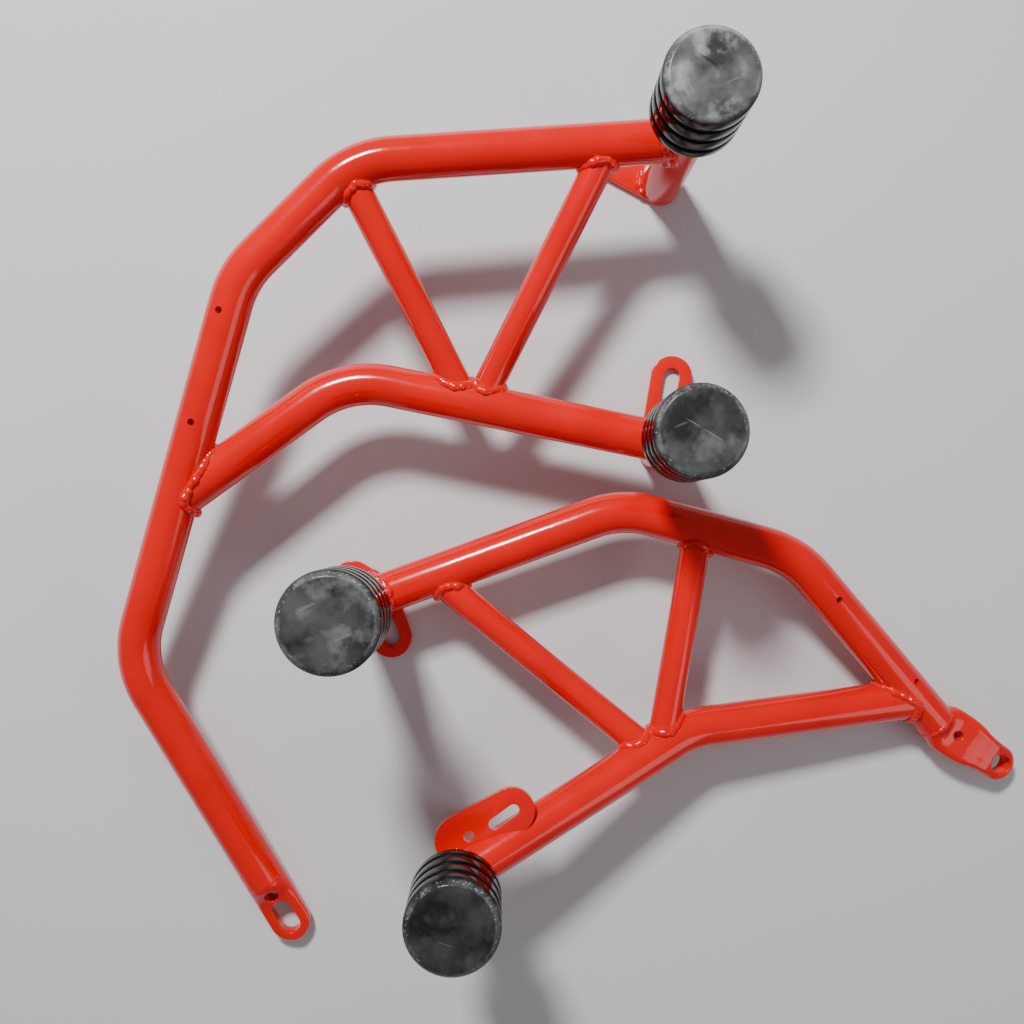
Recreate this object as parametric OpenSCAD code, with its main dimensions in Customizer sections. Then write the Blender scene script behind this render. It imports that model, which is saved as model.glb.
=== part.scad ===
// Pair of motorcycle crash bars, millimetres, +Z up.
// Both bars stand on their mounting plates with the sliders pointing up.
// Each bar is drawn round the foot of its own upper post.

/* [Layout] */
// Where the upper post of the left bar stands
left_bar_at = [54.5, 229]; // [-400:1:400]
// Where the upper post of the right bar stands
right_bar_at = [-130.5, -39]; // [-400:1:400]

/* [Tubes] */
// Outside diameter of the outer tubes
outer_tube_d = 25.4; // [24:0.2:27]
// Outside diameter of the inner tubes
inner_tube_d = 25; // [22:0.2:25.2]
// Wall of the outer and inner tubes
tube_wall = 2; // [1.2:0.1:3]
// Centreline radius of every bend
bend_r = 60; // [45:1:75]
// Outside diameter of the braces
brace_d = 18; // [14:0.2:21]
// Wall of the braces
brace_wall = 1.5; // [1:0.1:2.5]
// Width of the weld beads
bead_w = 3; // [1.5:0.1:4.5]
// How much the tubes draw in at a bend
bend_draw = 0.05; // [0.02:0.01:0.3]
// Drilled vent holes in the outer tubes
vent_d = 4; // [2:0.1:6]
// Distances of the left tube's vent holes from its second bend
left_vent_x = [21, 87, 136]; // [15:1:210]
// Roll of the left tube's vent holes from the top
left_vent_roll = [10, 2, -60]; // [-90:1:90]
// Distances of the right tube's vent holes from its second bend
right_vent_x = [36, 111]; // [15:1:120]
// Roll of the right tube's vent holes from the top
right_vent_roll = [-4, -24]; // [-90:1:90]

/* [Posts and plates] */
// Outside diameter of the slider posts
post_d = 26.9; // [26.4:0.1:32]
// Wall of the slider posts round their bore, which is open at the foot
post_wall = 3.95; // [3:0.05:7]
// Solid length left at the top of a post for the thread
post_cap = 30; // [25:1:36]
// Thickness of the mounting plates
plate_t = 5; // [3:0.5:8]
// Half width of a plate at its slot
plate_r = 13.3; // [12:0.1:17]
// Width of the plate slots for the mounting bolts
plate_slot_w = 10.5; // [8.5:0.5:12.5]

/* [Left bar] */
// Height of the upper post's top
left_upper_top = 123; // [115:1:150]
// Height of the lower post's top
left_lower_top = 99; // [90:1:130]
// Foot of the lower post
left_lower_post_at = [-1, -174]; // [-250:1:50]
// Height of the outer tube at the upper post
left_outer_z = 82; // [70:1:95]
// Upper bend of the outer tube
left_shoulder = [-188, -15, 87]; // [-400:1:100]
// Second bend of the outer tube
left_elbow = [-255, -80, 82]; // [-400:1:100]
// Lower bend of the outer tube
left_knee = [-328, -305, 44]; // [-400:1:100]
// Tip of the end lug
left_tip = [-233, -486, 6]; // [-500:0.1:100]
// Where the inner tube leaves the outer one, as a share of elbow to knee
left_branch = 0.57; // [0.5:0.01:0.65]
// Bend of the inner tube
left_inner_bend = [-197, -134, 54]; // [-400:1:100]
// Height of the inner tube at the lower post
left_inner_z = 57; // [45:1:68]
// Upper end of the front brace on the outer tube's axis
left_front_brace_top = [-190, -25, 86]; // [-400:1:100]
// Distance of the front brace's foot from the inner tube's bend
left_front_brace_foot = 73; // [60:1:85]
// Distance of the rear brace's head from the upper post
left_rear_brace_head = 42; // [36:1:60]
// Distance of the rear brace's foot from the inner tube's bend
left_rear_brace_foot = 81; // [76:1:100]

/* [Right bar] */
// Height of the upper post's top
right_upper_top = 149; // [115:1:160]
// Height of the lower post's top
right_lower_top = 110; // [105:1:130]
// Foot of the lower post
right_lower_post_at = [56, -156]; // [-250:1:100]
// Height of the outer tube at the upper post
right_outer_z = 38; // [25:1:60]
// Upper bend of the outer tube
right_shoulder = [155, 56, 40]; // [-100:1:400]
// Second bend of the outer tube
right_elbow = [261, 27, 42]; // [-100:1:400]
// End of the outer tube, where the end lug starts
right_heel = [357.6, -79.9, 17.3]; // [-200:1:400]
// Height of the inner tube at the lower post
right_inner_z = 80; // [60:1:88]
// Bend of the inner tube
right_inner_bend = [197, -80, 38]; // [-200:1:400]
// Where the inner tube meets the outer one, as a share of elbow to heel
right_branch = 0.856; // [0.8:0.001:0.86]
// Distance of the front brace's head from the upper post
right_front_brace_head = 42; // [36:1:60]
// Distance of the front brace's foot from the inner tube's bend
right_front_brace_foot = 29; // [25:1:45]
// Distance of the rear brace's head from the shoulder bend
right_rear_brace_head = 49; // [40:1:58]
// Distance of the rear brace's foot from the inner tube's bend
right_rear_brace_foot = 22; // [15:1:30]

/* [End lugs] */
// Length of the left bar's end lug
left_lug_len = 45; // [40:1:55]
// Thickness of the milled part of the left lug
left_lug_t = 8; // [5:0.5:12]
// Length of the round root of the left lug
left_lug_root = 4; // [3:0.5:6]
// Slot width in both end lugs
lug_slot_w = 12; // [8:0.5:13]
// Slot length in the left lug
left_lug_slot_len = 24; // [16:1:26]
// Metal left between a lug's slot and its tip
lug_rim = 5.5; // [4:0.5:8]
// Round hole in the left lug
left_lug_hole_d = 8.5; // [5:0.5:9]
// Metal left between the left lug's hole and its slot
left_lug_web = 1.2; // [0.8:0.1:3]
// Width of the pressed part of the right lug
right_lug_w = 31; // [28:0.5:34]
// Thickness of the pressed part of the right lug
right_lug_t = 14; // [12:0.5:18]
// Length over which the right lug changes from round to flat
right_lug_taper = 9; // [7:0.5:14]
// Length of the pressed part of the right lug
right_lug_len = 22; // [18:1:26]
// Plan angle of the right lug
right_lug_angle = -33; // [-45:1:-25]
// Round hole in the right lug
right_lug_hole_d = 6; // [4:0.5:8]
// Distance of the hole from the start of the pressed part
right_lug_hole_x = 6; // [4:0.5:9]
// Width of the right lug's tongue
tongue_w = 23; // [21:0.5:26]
// Thickness of the right lug's tongue
tongue_t = 4; // [3:0.5:6]
// Level run of the tongue before it slopes
tongue_run = 13; // [10:0.5:16]
// Length of the tongue's root inside the pressed part
tongue_bite = 6; // [4:0.5:10]
// Length of the tongue's slope
tongue_len = 26; // [24:0.5:30]
// Downward slope of the right lug's tongue
tongue_angle = 24; // [15:1:35]
// Slot length in the right lug's tongue
tongue_slot_len = 17; // [14:0.5:18]

/* [Plate shapes] */
// Slot end of the left upper plate from its post
left_upper_plate_tip = [-32, 17]; // [-60:1:60]
// Length of the left lower plate's slot
left_lower_slot_len = 24; // [14:1:30]
// Length of the left upper plate's slot
left_upper_slot_len = 14; // [12:0.5:20]
// Slot end of the left lower plate from its post
left_lower_plate_tip = [8, 48]; // [-60:1:60]
// Slot end of the right upper plate from its post
right_upper_plate_tip = [10, -27]; // [-60:1:60]
// Length of the right upper plate's slot
right_upper_slot_len = 18; // [12:0.5:19]
// Lobe of the right upper plate on the far side of its post
right_upper_plate_lobe = [-15, 9]; // [-40:1:40]
// Height of the right lower plate's under face
right_lower_plate_z = 75; // [70:1:80]
// Rounded corner of the right lower plate from its post
right_lower_plate_root = [1, 20]; // [-40:1:40]
// Rounded tip of the right lower plate from its post
right_lower_plate_tip = [31, 37]; // [-60:1:60]
// Radius of the right lower plate's corner
right_lower_plate_r = 14.4; // [13.6:0.1:16]
// Round hole in the right lower plate
right_lower_plate_hole_d = 6.5; // [4.5:0.5:8]
// Place of the round hole from the post
right_lower_plate_hole = [6.5, 22.5]; // [-40:0.5:40]
// Width of the right lower plate's slot
right_lower_slot_w = 6.8; // [5:0.1:8]
// Inner end of the right lower plate's slot
right_lower_slot_start = [21, 29.5]; // [-40:0.5:40]
// Outer end of the right lower plate's slot
right_lower_slot_end = [32, 37.5]; // [-40:0.5:40]

/* [Sliders] */
// Diameter of the sliders
slider_d = 50; // [46:0.5:60]
// Length of the sliders
slider_len = 50; // [46:1:60]
// Chamfer round the outer face
slider_chamfer = 3; // [1:0.5:5]
// Chamfer round the inner face
slider_base_chamfer = 1; // [0.5:0.5:2]
// Heights of the three grooves above the inner face
groove_z = [9.5, 23, 36.5]; // [6:0.5:42]
// Width of a groove at the surface
groove_w = 4; // [2:0.5:6]
// Depth of a groove
groove_depth = 2; // [1:0.1:3]
// Diameter of the steel insert
insert_d = 16; // [14:0.5:20]
// Length of the steel insert
insert_len = 26; // [22:1:34]
// Diameter of the insert's flange
flange_d = 24; // [21:0.5:26]
// Thickness of the insert's flange
flange_t = 2; // [1:0.5:3]
// Diameter of the studs
stud_d = 10; // [8:1:12]
// Length of the studs
stud_len = 40; // [30:1:44]
// Play between a stud and its threads
thread_gap = 0.1; // [0.05:0.05:0.3]

/* [Hidden] */
$fn = 64;
red = [0.93, 0.08, 0.06];
black = [0.09, 0.09, 0.1];
steel = [0.72, 0.73, 0.75];
eps = 0.01;
hole_len = 80;
bead_reach = 2.2 * outer_tube_d;
bend_lap = 0.5;
lug_slice = 1;
lug_ledge = 0.15;
// Clears one brace's bead off the other's by a hair
bead_clear_d = brace_d + 2 * bead_w + 0.1;

left_lower_at = left_bar_at + left_lower_post_at;
right_lower_at = right_bar_at + right_lower_post_at;

// Paths of the bent tubes, from the post to the far end
left_axis = unit(left_tip - left_knee);
left_outer_end = left_tip - left_lug_len * left_axis;
left_outer_path = [[0, 0, left_outer_z], left_shoulder, left_elbow, left_knee, left_outer_end];
left_inner_path = [
    [left_lower_post_at.x, left_lower_post_at.y, left_inner_z],
    left_inner_bend,
    between(left_elbow, left_knee, left_branch)
];
right_outer_path = [[0, 0, right_outer_z], right_shoulder, right_elbow, right_heel];
right_inner_path = [
    [right_lower_post_at.x, right_lower_post_at.y, right_inner_z],
    right_inner_bend,
    between(right_elbow, right_heel, right_branch)
];

// Axes of the straight braces, head on the outer tube and foot on the inner one
left_front_brace_axis = [left_front_brace_top, from_bend(left_inner_path, left_front_brace_foot)];
left_rear_brace_axis = [
    step(left_outer_path[0], left_outer_path[1], left_rear_brace_head),
    from_bend(left_inner_path, left_rear_brace_foot)
];
right_front_brace_axis = [
    step(right_outer_path[0], right_outer_path[1], right_front_brace_head),
    from_bend(right_inner_path, right_front_brace_foot)
];
right_rear_brace_axis = [
    step(right_shoulder, right_elbow, right_rear_brace_head),
    from_bend(right_inner_path, right_rear_brace_foot)
];

function unit(v) = v / norm(v);
function between(a, b, share) = a + share * (b - a);
function step(a, b, distance) = a + distance * unit(b - a);
// Point on the inner tube's straight towards the post, measured from its bend
function from_bend(path, distance) = step(path[1], path[0], distance);
function turn(a, b, c) = acos(unit(b - a) * unit(c - b));
function run_in(a, b, c) = bend_r * tan(turn(a, b, c) / 2);

// Puts its children on point a with Z towards b, X level and Y up
module aim(a, b) {
    z = unit(b - a);
    x = unit(cross([0, 0, 1], z));
    y = cross(z, x);
    multmatrix([
        [x.x, y.x, z.x, a.x],
        [x.y, y.y, z.y, a.y],
        [x.z, y.z, z.z, a.z],
        [0, 0, 0, 1]
    ])
        children();
}

module rod(a, b, r) {
    aim(a, b) cylinder(r = r, h = norm(b - a));
}

// Bend at corner b, swept round the inside of the corner
module bend(a, b, c, r) {
    u = unit(b - a);
    v = unit(c - b);
    n = unit(v - (v * u) * u);
    z = cross(-n, u);
    o = b - run_in(a, b, c) * u + bend_r * n;
    multmatrix([
        [-n.x, u.x, z.x, o.x],
        [-n.y, u.y, z.y, o.y],
        [-n.z, u.z, z.z, o.z],
        [0, 0, 0, 1]
    ])
        rotate_extrude(angle = turn(a, b, c)) translate([bend_r, 0]) circle(r - bend_draw);
}

// Solid bent rod along a path of corners, run past each end by its own amount.
// The straights lap a little way over the bends, which draw in slightly.
module bent_rod(path, r, past_start = 0, past_end = 0) {
    last = len(path) - 1;
    for (i = [0 : last - 1]) {
        u = unit(path[i + 1] - path[i]);
        cut_a = i == 0 ? -past_start : run_in(path[i - 1], path[i], path[i + 1]) - bend_lap;
        cut_b = i == last - 1 ? -past_end : run_in(path[i], path[i + 1], path[i + 2]) - bend_lap;
        rod(path[i] + cut_a * u, path[i + 1] - cut_b * u, r);
    }
    for (i = [1 : last - 1])
        bend(path[i - 1], path[i], path[i + 1], r);
}

module bent_tube(path, d) {
    difference() {
        bent_rod(path, d / 2);
        bent_rod(path, d / 2 - tube_wall, 1, 1);
    }
}

module straight_tube(axis, d, wall) {
    difference() {
        rod(axis[0], axis[1], d / 2);
        rod(step(axis[0], axis[1], -1), step(axis[1], axis[0], -1), d / 2 - wall);
    }
}

module post_rod(at, extra = 0) {
    translate([at.x, at.y, 0]) cylinder(d = post_d + 2 * extra, h = left_upper_top + right_upper_top);
}

// Vent hole, drilled towards the axis at a distance from corner a, rolled from the top
module vent(a, b, distance, roll) {
    aim(step(a, b, distance), b) rotate([0, 0, roll]) rotate([-90, 0, 0]) cylinder(d = vent_d, h = hole_len);
}

module outer_tube(path, post_at) {
    color(red) difference() {
        bent_tube(path, outer_tube_d);
        post_rod(post_at);
        children();
    }
}

// Inner tube, mitred onto the run of outer tube between corners a and b
module inner_tube(path, a, b, post_at) {
    color(red) difference() {
        bent_tube(path, inner_tube_d);
        post_rod(post_at);
        rod(a, b, outer_tube_d / 2);
    }
}

// Brace, mitred onto its two parents, which are given as children
module brace(axis) {
    color(red) difference() {
        straight_tube(axis, brace_d, brace_wall);
        children();
    }
}

module post(at, top, foot = plate_t) {
    color(red) translate([at.x, at.y, foot]) difference() {
        cylinder(d = post_d, h = top - foot);
        translate([0, 0, -1]) cylinder(d = post_d - 2 * post_wall, h = top - foot - post_cap + 1);
        translate([0, 0, top - foot - stud_len / 2])
            cylinder(d = stud_d + 2 * thread_gap, h = stud_len);
    }
}

// Outline of a flat bar between two discs, its edges tangent to both
module web(a, ra, b, rb) {
    translate(a) {
        circle(r = ra);
        arm(ra, b - a, rb);
    }
}

// The part of a web beyond its first disc, which is centred on the origin
module arm(ra, tip, rb) {
    d = norm(tip);
    lean = acos((ra - rb) / d);
    rotate(atan2(tip.y, tip.x)) {
        translate([d, 0]) circle(r = rb);
        polygon([
            [ra * cos(lean), -ra * sin(lean)],
            [d + rb * cos(lean), -rb * sin(lean)],
            [d + rb * cos(lean), rb * sin(lean)],
            [ra * cos(lean), ra * sin(lean)]
        ]);
    }
}

// Outline of a long hole with round ends between two centres
module slot(a, b, w) {
    length = norm(b - a);
    translate(a) rotate(atan2(b.y - a.y, b.x - a.x)) {
        circle(d = w);
        translate([length, 0]) circle(d = w);
        translate([0, -w / 2]) square([length, w]);
    }
}

module plate_outline(tip, root_r, lobe) {
    circle(r = root_r);
    arm(root_r, tip, plate_r);
    if (norm(lobe) > 0)
        arm(root_r, lobe, plate_r);
}

module plate(at, tip, root_r, slot_len, lobe = [0, 0]) {
    color(red) translate([at.x, at.y, 0]) linear_extrude(plate_t) difference() {
        plate_outline(tip, root_r, lobe);
        slot(tip, step(tip, [0, 0], slot_len - plate_slot_w), plate_slot_w);
    }
}

// Weld bead along the saddle where a branch rod from a to b lands on its parent.
// Children: the parent grown by the bead's width, then the parent itself.
module bead(a, b, d) {
    end = step(a, b, bead_reach);
    difference() {
        intersection() {
            rod(a, end, d / 2 + bead_w);
            children(0);
        }
        rod(a, end, d / 2);
        children(1);
    }
}

// Bead at the foot of a brace, cleared for the other brace of its V
module bead_at_foot(axis, other, clear_d) {
    difference() {
        bead(axis[1], axis[0], brace_d) {
            children(0);
            children(1);
        }
        rod(other[1], other[0], clear_d / 2);
    }
}

module bead_on_post(a, b, d, post_at) {
    bead(a, b, d) {
        post_rod(post_at, bead_w);
        post_rod(post_at);
    }
}

// Bead on top of a plate round the foot of its post
module bead_post_plate(at, tip, root_r, lobe = [0, 0]) {
    translate([at.x, at.y, plate_t]) intersection() {
        difference() {
            cylinder(d = post_d + 2 * bead_w, h = bead_w);
            translate([0, 0, -1]) cylinder(d = post_d, h = bead_w + 2);
        }
        linear_extrude(bead_w) plate_outline(tip, root_r, lobe);
    }
}

// Round bead at the end of a tube, over the butt joint with its lug
module bead_ring(path, back = 0) {
    last = len(path) - 1;
    aim(step(path[last], path[last - 1], back), path[last - 1]) rotate_extrude() difference() {
        translate([outer_tube_d / 2, 0]) circle(d = bead_w);
        translate([0, -bead_w]) square([outer_tube_d / 2, 2 * bead_w]);
    }
}

module slider(at, top) {
    r = slider_d / 2;
    color(black) translate([at.x, at.y, top]) difference() {
        rotate_extrude() polygon(concat(
            [[0, 0], [r - slider_base_chamfer, 0], [r, slider_base_chamfer]],
            [for (z = groove_z) each [
                [r, z - groove_w / 2],
                [r - groove_depth, z - groove_w / 2 + groove_depth / 2],
                [r - groove_depth, z + groove_w / 2 - groove_depth / 2],
                [r, z + groove_w / 2]
            ]],
            [[r, slider_len - slider_chamfer], [r - slider_chamfer, slider_len], [0, slider_len]]
        ));
        translate([0, 0, -1]) cylinder(d = flange_d, h = flange_t + 1);
        cylinder(d = insert_d, h = insert_len);
    }
}

module slider_insert(at, top) {
    color(steel) translate([at.x, at.y, top]) difference() {
        union() {
            cylinder(d = flange_d, h = flange_t);
            cylinder(d = insert_d, h = insert_len);
        }
        translate([0, 0, -1]) cylinder(d = stud_d + 2 * thread_gap, h = stud_len / 2 + 2);
    }
}

module slider_stud(at, top) {
    color(steel) translate([at.x, at.y, top - stud_len / 2]) cylinder(d = stud_d, h = stud_len);
}

// Left bar
module left_frame() translate([left_bar_at.x, left_bar_at.y, 0]) children();

module left_outer_tube() left_frame()
    outer_tube(left_outer_path, [0, 0])
        for (i = [0 : len(left_vent_x) - 1])
            vent(left_elbow, left_knee, left_vent_x[i], left_vent_roll[i]);

module left_inner_tube() left_frame()
    inner_tube(left_inner_path, left_elbow, left_knee, left_lower_post_at);

module left_front_brace() left_frame()
    brace(left_front_brace_axis) {
        bent_rod([left_outer_path[0], left_shoulder, left_elbow], outer_tube_d / 2);
        rod(left_inner_path[0], left_inner_bend, inner_tube_d / 2);
    }

module left_rear_brace() left_frame()
    brace(left_rear_brace_axis) {
        rod(left_outer_path[0], left_shoulder, outer_tube_d / 2);
        rod(left_inner_path[0], left_inner_bend, inner_tube_d / 2);
        rod(left_front_brace_axis[0], left_front_brace_axis[1], brace_d / 2);
    }

module left_upper_post() post(left_bar_at, left_upper_top);

module left_lower_post() post(left_lower_at, left_lower_top);

module left_upper_plate() plate(left_bar_at, left_upper_plate_tip, post_d / 2, left_upper_slot_len);

module left_lower_plate() plate(left_lower_at, left_lower_plate_tip, post_d / 2, left_lower_slot_len);

// Round bar milled flat on both sides, with a round tip, a long slot and a hole
module left_end_lug() {
    r = outer_tube_d / 2;
    tip_z = left_lug_len - r;
    slot_end = left_lug_len - lug_rim - lug_slot_w / 2;
    slot_start = slot_end - left_lug_slot_len + lug_slot_w;
    hole_z = slot_start - lug_slot_w / 2 - left_lug_web - left_lug_hole_d / 2;
    color(red) left_frame() aim(left_outer_end, left_tip) difference() {
        union() {
            cylinder(r = r, h = left_lug_root);
            intersection() {
                cylinder(r = r, h = left_lug_len);
                translate([-r, -left_lug_t / 2, 0]) cube([2 * r, left_lug_t, tip_z]);
            }
            intersection() {
                translate([0, 0, tip_z - eps]) cylinder(r = r, h = r + 1);
                translate([0, left_lug_t / 2, tip_z]) rotate([90, 0, 0]) cylinder(r = r, h = left_lug_t);
            }
        }
        translate([0, r, 0]) rotate([90, 0, 0]) {
            translate([0, hole_z, 0]) cylinder(d = left_lug_hole_d, h = 2 * r);
            linear_extrude(2 * r) slot([0, slot_start], [0, slot_end], lug_slot_w);
        }
    }
}

module left_weld_beads() color(red) {
    left_frame() {
        bead_on_post(left_outer_path[0], left_shoulder, outer_tube_d, [0, 0]);
        bead_on_post(left_inner_path[0], left_inner_bend, inner_tube_d, left_lower_post_at);
        bead(left_inner_path[2], left_inner_bend, inner_tube_d) {
            rod(left_elbow, left_knee, outer_tube_d / 2 + bead_w);
            rod(left_elbow, left_knee, outer_tube_d / 2);
        }
        bead(left_front_brace_axis[0], left_front_brace_axis[1], brace_d) {
            bent_rod([left_outer_path[0], left_shoulder, left_elbow], outer_tube_d / 2 + bead_w);
            bent_rod([left_outer_path[0], left_shoulder, left_elbow], outer_tube_d / 2);
        }
        bead(left_rear_brace_axis[0], left_rear_brace_axis[1], brace_d) {
            rod(left_outer_path[0], left_shoulder, outer_tube_d / 2 + bead_w);
            rod(left_outer_path[0], left_shoulder, outer_tube_d / 2);
        }
        bead_at_foot(left_front_brace_axis, left_rear_brace_axis, brace_d) {
            rod(left_inner_path[0], left_inner_bend, inner_tube_d / 2 + bead_w);
            rod(left_inner_path[0], left_inner_bend, inner_tube_d / 2);
        }
        bead_at_foot(left_rear_brace_axis, left_front_brace_axis, bead_clear_d) {
            rod(left_inner_path[0], left_inner_bend, inner_tube_d / 2 + bead_w);
            rod(left_inner_path[0], left_inner_bend, inner_tube_d / 2);
        }
        bead_ring(left_outer_path);
    }
    bead_post_plate(left_bar_at, left_upper_plate_tip, post_d / 2);
    bead_post_plate(left_lower_at, left_lower_plate_tip, post_d / 2);
}

module left_upper_slider() slider(left_bar_at, left_upper_top);

module left_lower_slider() slider(left_lower_at, left_lower_top);

module left_slider_inserts() {
    slider_insert(left_bar_at, left_upper_top);
    slider_insert(left_lower_at, left_lower_top);
}

module left_slider_studs() {
    slider_stud(left_bar_at, left_upper_top);
    slider_stud(left_lower_at, left_lower_top);
}

// Right bar
module right_frame() translate([right_bar_at.x, right_bar_at.y, 0]) children();

module right_outer_tube() right_frame()
    outer_tube(right_outer_path, [0, 0])
        for (i = [0 : len(right_vent_x) - 1])
            vent(right_elbow, right_heel, right_vent_x[i], right_vent_roll[i]);

module right_inner_tube() right_frame()
    inner_tube(right_inner_path, right_elbow, right_heel, right_lower_post_at);

module right_front_brace() right_frame()
    brace(right_front_brace_axis) {
        rod(right_outer_path[0], right_shoulder, outer_tube_d / 2);
        bent_rod(right_inner_path, inner_tube_d / 2);
    }

module right_rear_brace() right_frame()
    brace(right_rear_brace_axis) {
        rod(right_shoulder, right_elbow, outer_tube_d / 2);
        bent_rod(right_inner_path, inner_tube_d / 2);
        rod(right_front_brace_axis[0], right_front_brace_axis[1], brace_d / 2);
    }

module right_upper_post() post(right_bar_at, right_upper_top);

module right_lower_post() post(right_lower_at, right_lower_top, 0);

module right_upper_plate()
    plate(right_bar_at, right_upper_plate_tip, post_d / 2, right_upper_slot_len, right_upper_plate_lobe);

// Outline of the level plate between the lower post and the upper side of the inner tube
module right_lower_outline() {
    web(right_lower_plate_root, right_lower_plate_r, right_lower_plate_tip, plate_r);
    polygon([
        [0, 0], right_lower_plate_root, right_lower_plate_tip,
        right_lower_plate_tip - right_lower_plate_root
    ]);
}

module right_lower_plate() {
    color(red) translate([right_lower_at.x, right_lower_at.y, right_lower_plate_z]) difference() {
        linear_extrude(plate_t) difference() {
            right_lower_outline();
            translate(right_lower_plate_hole) circle(d = right_lower_plate_hole_d);
            slot(right_lower_slot_start, right_lower_slot_end, right_lower_slot_w);
        }
        translate([0, 0, -hole_len]) cylinder(d = post_d, h = 2 * hole_len);
        translate([-right_lower_post_at.x, -right_lower_post_at.y, -right_lower_plate_z])
            rod(right_inner_path[0], right_inner_bend, inner_tube_d / 2);
    }
}

// Tube end pressed flat, with a slotted tongue bent down to the mount
module right_end_lug() {
    half = right_lug_t / 2;
    side = right_lug_w / 2 - half;
    slot_end = tongue_len - lug_rim - lug_slot_w / 2;
    slot_start = slot_end - tongue_slot_len + lug_slot_w;
    tube_dir = unit(right_heel - right_elbow);
    color(red) right_frame() difference() {
        union() {
            hull() {
                aim(right_heel, right_heel + tube_dir) cylinder(d = outer_tube_d, h = lug_slice, $fn = 32);
                right_lug_frame() rotate([90, 0, 90]) for (s = [-side, side])
                    translate([s, 0, 0]) cylinder(r = half + lug_ledge, h = lug_slice, $fn = 32);
            }
            right_lug_frame() rotate([90, 0, 90])
                linear_extrude(right_lug_len) web([-side, 0], half, [side, 0], half);
            right_lug_frame() translate([right_lug_len - tongue_bite, 0, 0]) tongue();
        }
        right_lug_frame() translate([right_lug_hole_x, 0, -hole_len / 2])
            cylinder(d = right_lug_hole_d, h = hole_len);
        right_lug_frame() translate([right_lug_len - tongue_bite, 0, 0]) tongue_tip_frame()
            translate([0, 0, -tongue_t])
                linear_extrude(2 * tongue_t) slot([slot_start, 0], [slot_end, 0], lug_slot_w);
    }
}

// Level frame at the start of the pressed part, X along the lug
module right_lug_frame() {
    translate(right_heel) rotate([0, 0, right_lug_angle]) translate([right_lug_taper, 0, 0]) children();
}

// Frame of the tongue's sloping part, X down the slope and Z out of its upper face
module tongue_tip_frame() {
    translate([tongue_run, 0, 0]) rotate([0, tongue_angle, 0]) children();
}

// Tongue: a level run, then the slope, with a round tip
module tongue() {
    half = tongue_t / 2;
    knee = half * tan(tongue_angle / 2);
    intersection() {
        union() {
            translate([0, -tongue_w, -half]) cube([tongue_run + knee, 2 * tongue_w, tongue_t]);
            tongue_tip_frame() translate([-knee, -tongue_w, -half]) cube([tongue_len + knee, 2 * tongue_w, tongue_t]);
        }
        tongue_tip_frame() translate([0, 0, -hole_len / 2]) linear_extrude(hole_len)
            web([-hole_len, 0], tongue_w / 2, [tongue_len - tongue_w / 2, 0], tongue_w / 2);
    }
}

module right_weld_beads() color(red) {
    right_frame() {
        bead_on_post(right_outer_path[0], right_shoulder, outer_tube_d, [0, 0]);
        difference() {
            bead_on_post(right_inner_path[0], right_inner_bend, inner_tube_d, right_lower_post_at);
            translate([right_lower_post_at.x, right_lower_post_at.y, right_lower_plate_z])
                linear_extrude(plate_t) right_lower_outline();
        }
        bead(right_inner_path[2], right_inner_bend, inner_tube_d) {
            rod(right_elbow, right_heel, outer_tube_d / 2 + bead_w);
            rod(right_elbow, right_heel, outer_tube_d / 2);
        }
        bead(right_front_brace_axis[0], right_front_brace_axis[1], brace_d) {
            rod(right_outer_path[0], right_shoulder, outer_tube_d / 2 + bead_w);
            rod(right_outer_path[0], right_shoulder, outer_tube_d / 2);
        }
        bead(right_rear_brace_axis[0], right_rear_brace_axis[1], brace_d) {
            rod(right_shoulder, right_elbow, outer_tube_d / 2 + bead_w);
            rod(right_shoulder, right_elbow, outer_tube_d / 2);
        }
        bead_at_foot(right_front_brace_axis, right_rear_brace_axis, brace_d) {
            rod(right_inner_path[0], right_inner_bend, inner_tube_d / 2 + bead_w);
            rod(right_inner_path[0], right_inner_bend, inner_tube_d / 2);
        }
        bead_at_foot(right_rear_brace_axis, right_front_brace_axis, bead_clear_d) {
            bent_rod(right_inner_path, inner_tube_d / 2 + bead_w);
            bent_rod(right_inner_path, inner_tube_d / 2);
        }
        bead_ring(right_outer_path, bead_w / 2);
    }
    bead_post_plate(right_bar_at, right_upper_plate_tip, post_d / 2, right_upper_plate_lobe);
}

module right_upper_slider() slider(right_bar_at, right_upper_top);

module right_lower_slider() slider(right_lower_at, right_lower_top);

module right_slider_inserts() {
    slider_insert(right_bar_at, right_upper_top);
    slider_insert(right_lower_at, right_lower_top);
}

module right_slider_studs() {
    slider_stud(right_bar_at, right_upper_top);
    slider_stud(right_lower_at, right_lower_top);
}

left_outer_tube();
left_inner_tube();
left_front_brace();
left_rear_brace();
left_upper_post();
left_lower_post();
left_upper_plate();
left_lower_plate();
left_end_lug();
left_weld_beads();
left_upper_slider();
left_lower_slider();
left_slider_inserts();
left_slider_studs();
right_outer_tube();
right_inner_tube();
right_front_brace();
right_rear_brace();
right_upper_post();
right_lower_post();
right_upper_plate();
right_lower_plate();
right_end_lug();
right_weld_beads();
right_upper_slider();
right_lower_slider();
right_slider_inserts();
right_slider_studs();
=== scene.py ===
import bmesh
import bpy
import math
from mathutils import Matrix, Vector
from mathutils.bvhtree import BVHTree


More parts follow.
